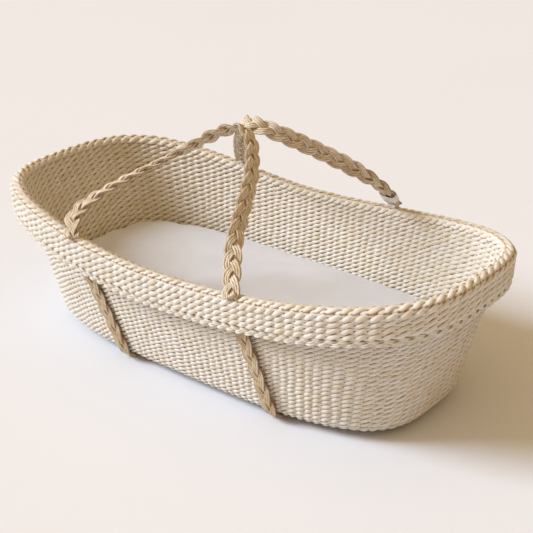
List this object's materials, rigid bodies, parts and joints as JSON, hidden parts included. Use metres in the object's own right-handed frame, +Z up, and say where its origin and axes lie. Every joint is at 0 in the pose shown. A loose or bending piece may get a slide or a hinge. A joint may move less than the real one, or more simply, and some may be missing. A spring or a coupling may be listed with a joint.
{
  "type": "baby basket",
  "caption": "Oval woven baby basket with a turned-down cuff, braided strap handles that lean together, and a lift-out mattress in a fitted cover.",
  "frame": {"origin": "centre of the footprint, on the surface the basket stands on", "axes": "+X along the basket towards the foot end, +Y towards the far long side, +Z up"},
  "size_m": [0.8048, 0.407, 0.3617],
  "materials": {
    "husk": "pale twined plant husk, matt with a faint dry sheen",
    "rope": "golden twisted seagrass cord, matt fibres",
    "cotton": "smooth light grey cotton jersey",
    "label": "plain white woven tape, no lettering",
    "foam": "open-cell foam",
    "elastic": "white covered elastic"
  },
  "bodies": {
    "basket": {"base_mat": "husk", "base_turn_row": "husk", "wall_weave": "husk", "cuff_weave": "husk", "cuff_border": "husk", "rim_core_cord": "rope", "side_strap_near_head": "rope", "side_strap_near_foot": "rope", "side_strap_far_head": "rope", "side_strap_far_foot": "rope", "under_strap_head": "rope", "under_strap_foot": "rope"},
    "near_handle": {"near_handle_strand_1": "rope", "near_handle_strand_2": "rope", "near_handle_strand_3": "rope"},
    "far_handle": {"far_handle_strand_1": "rope", "far_handle_strand_2": "rope", "far_handle_strand_3": "rope", "care_label": "label"},
    "mattress": {"mattress_core": "foam", "mattress_cover": "cotton", "cover_elastic": "elastic"}
  },
  "joints": [
    {"name": "near_handle_swing", "type": "hinge", "parent": "basket", "child": "near_handle", "pos_m": [0, -0.19, 0.207], "axis": [1, 0, 0], "range_deg": [0, 140]},
    {"name": "far_handle_swing", "type": "hinge", "parent": "basket", "child": "far_handle", "pos_m": [0, 0.19, 0.207], "axis": [-1, 0, 0], "range_deg": [0, 140]},
    {"name": "mattress_lift", "type": "slide", "parent": "basket", "child": "mattress", "axis": [0, 0, 1], "range_m": [0, 0.1]}
  ]
}
